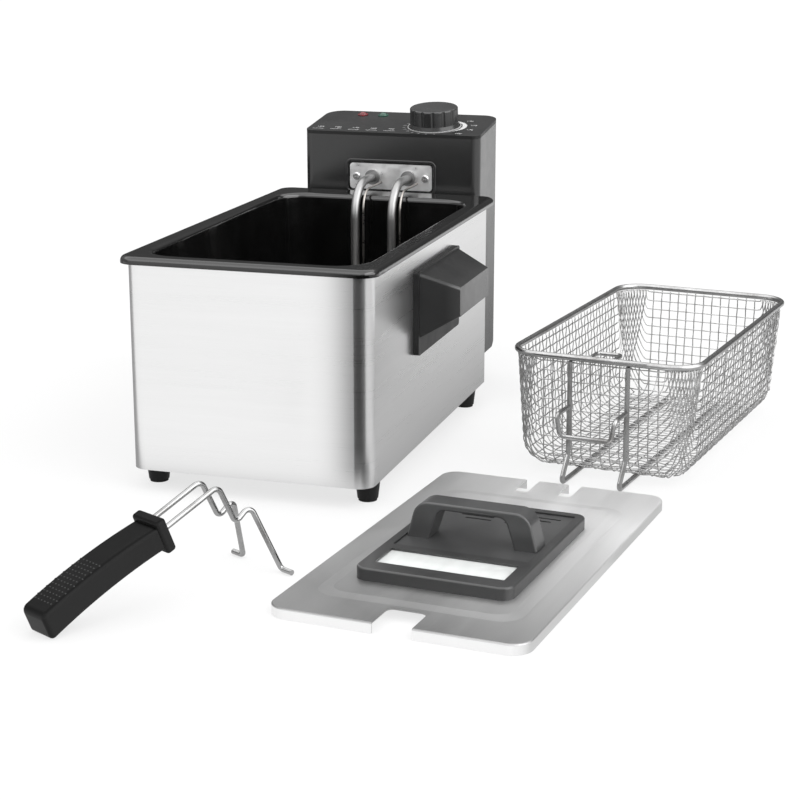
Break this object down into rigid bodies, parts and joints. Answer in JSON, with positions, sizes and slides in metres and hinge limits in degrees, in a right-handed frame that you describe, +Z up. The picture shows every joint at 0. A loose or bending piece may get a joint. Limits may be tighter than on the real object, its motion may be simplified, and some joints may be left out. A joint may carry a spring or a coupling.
{
  "type": "deep fryer",
  "caption": "Steel-cased deep fryer with a lift-out tank, lift-off control head with heating element, lid with window, wire basket and clip-on basket handle.",
  "frame": {"origin": "on the floor under the middle of the casing, midway between the four feet", "axes": "+X to the right of someone facing the front, +Y from the front to the control head, +Z up"},
  "size_m": [0.5034, 0.7749, 0.2666],
  "materials": {
    "casing_steel": "brushed",
    "zinc_screws": "bright",
    "black_plastic": "satin",
    "panel_plastic": "satin",
    "soft_rubber": "matt",
    "sheet_steel": "plain",
    "black_enamel": "gloss enamel",
    "element_steel": "polished",
    "feeler_steel": "plain",
    "inner_plastic": "plain",
    "red_lens": "clear",
    "green_lens": "clear",
    "red_button": "gloss",
    "lid_steel": "satin",
    "clear_glass": "clear",
    "filter_felt": "felt",
    "basket_wire": "bright",
    "grip_plastic": "satin"
  },
  "bodies": {
    "casing": {"casing_shell": "casing_steel", "back_panel": "casing_steel", "back_panel_screws": "zinc_screws", "back_panel_nuts": "zinc_screws", "base_plate": "casing_steel", "feet": "black_plastic", "foot_pads": "soft_rubber", "foot_screws": "zinc_screws", "foot_nuts": "zinc_screws", "side_handle_left": "black_plastic", "side_handle_right": "black_plastic", "side_handle_screws": "zinc_screws", "guide_rails": "sheet_steel", "interlock_peg": "sheet_steel"},
    "oil_tank": {"oil_tank": "black_enamel"},
    "control_head": {"head_front_shell": "black_plastic", "head_rear_cover": "black_plastic", "control_panel": "panel_plastic", "cover_screws": "zinc_screws", "element_plate": "sheet_steel", "plate_screws": "zinc_screws", "plate_nuts": "zinc_screws", "element_collars": "element_steel", "heating_element": "element_steel", "temperature_feelers": "feeler_steel", "capillary_tubes": "feeler_steel", "feeler_clips": "sheet_steel", "thermostat_body": "inner_plastic", "dial_ring": "sheet_steel", "red_lamp": "red_lens", "green_lamp": "green_lens", "thermal_cutout": "inner_plastic", "terminal_block": "inner_plastic", "cord_gland": "black_plastic", "interlock_switch": "inner_plastic"},
    "thermostat_knob": {"thermostat_knob": "black_plastic", "thermostat_shaft": "feeler_steel"},
    "reset_button": {"reset_button": "red_button"},
    "lid": {"lid_plate": "lid_steel", "lid_frame": "black_plastic", "window_glass": "clear_glass", "window_seal": "soft_rubber", "filter_cover": "black_plastic", "grease_filter": "filter_felt", "lid_handle": "black_plastic", "lid_screws": "zinc_screws"},
    "basket": {"basket_mesh": "basket_wire", "basket_rim": "basket_wire", "support_wires": "basket_wire", "front_hook": "basket_wire", "handle_catch": "basket_wire"},
    "basket_handle": {"handle_grip": "grip_plastic", "handle_ferrule": "grip_plastic", "handle_wires": "basket_wire"}
  },
  "joints": [
    {"name": "tank_lift", "type": "slide", "parent": "casing", "child": "oil_tank", "axis": [0, 0, 1], "range_m": [0, 0.17]},
    {"name": "head_lift", "type": "slide", "parent": "oil_tank", "child": "control_head", "axis": [0, 0, 1], "range_m": [0, 0.2]},
    {"name": "knob_turn", "type": "hinge", "parent": "control_head", "child": "thermostat_knob", "pos_m": [0.034, 0.23074, 0.24542], "axis": [0, -0.1305, 0.9914], "range_deg": [-270, 0]},
    {"name": "reset_press", "type": "slide", "parent": "control_head", "child": "reset_button", "axis": [0, -1, 0], "range_m": [0, 0.002], "stiffness_N_per_m": 400},
    {"name": "lid_lift", "type": "slide", "parent": "casing", "child": "lid", "axis": [0, 0, 1], "range_m": [0, 0.12]},
    {"name": "basket_lift", "type": "slide", "parent": "casing", "child": "basket", "axis": [0, 0, 1], "range_m": [0, 0.2]},
    {"name": "handle_lift", "type": "slide", "parent": "casing", "child": "basket_handle", "axis": [0, 0, 1], "range_m": [0, 0.15]}
  ]
}
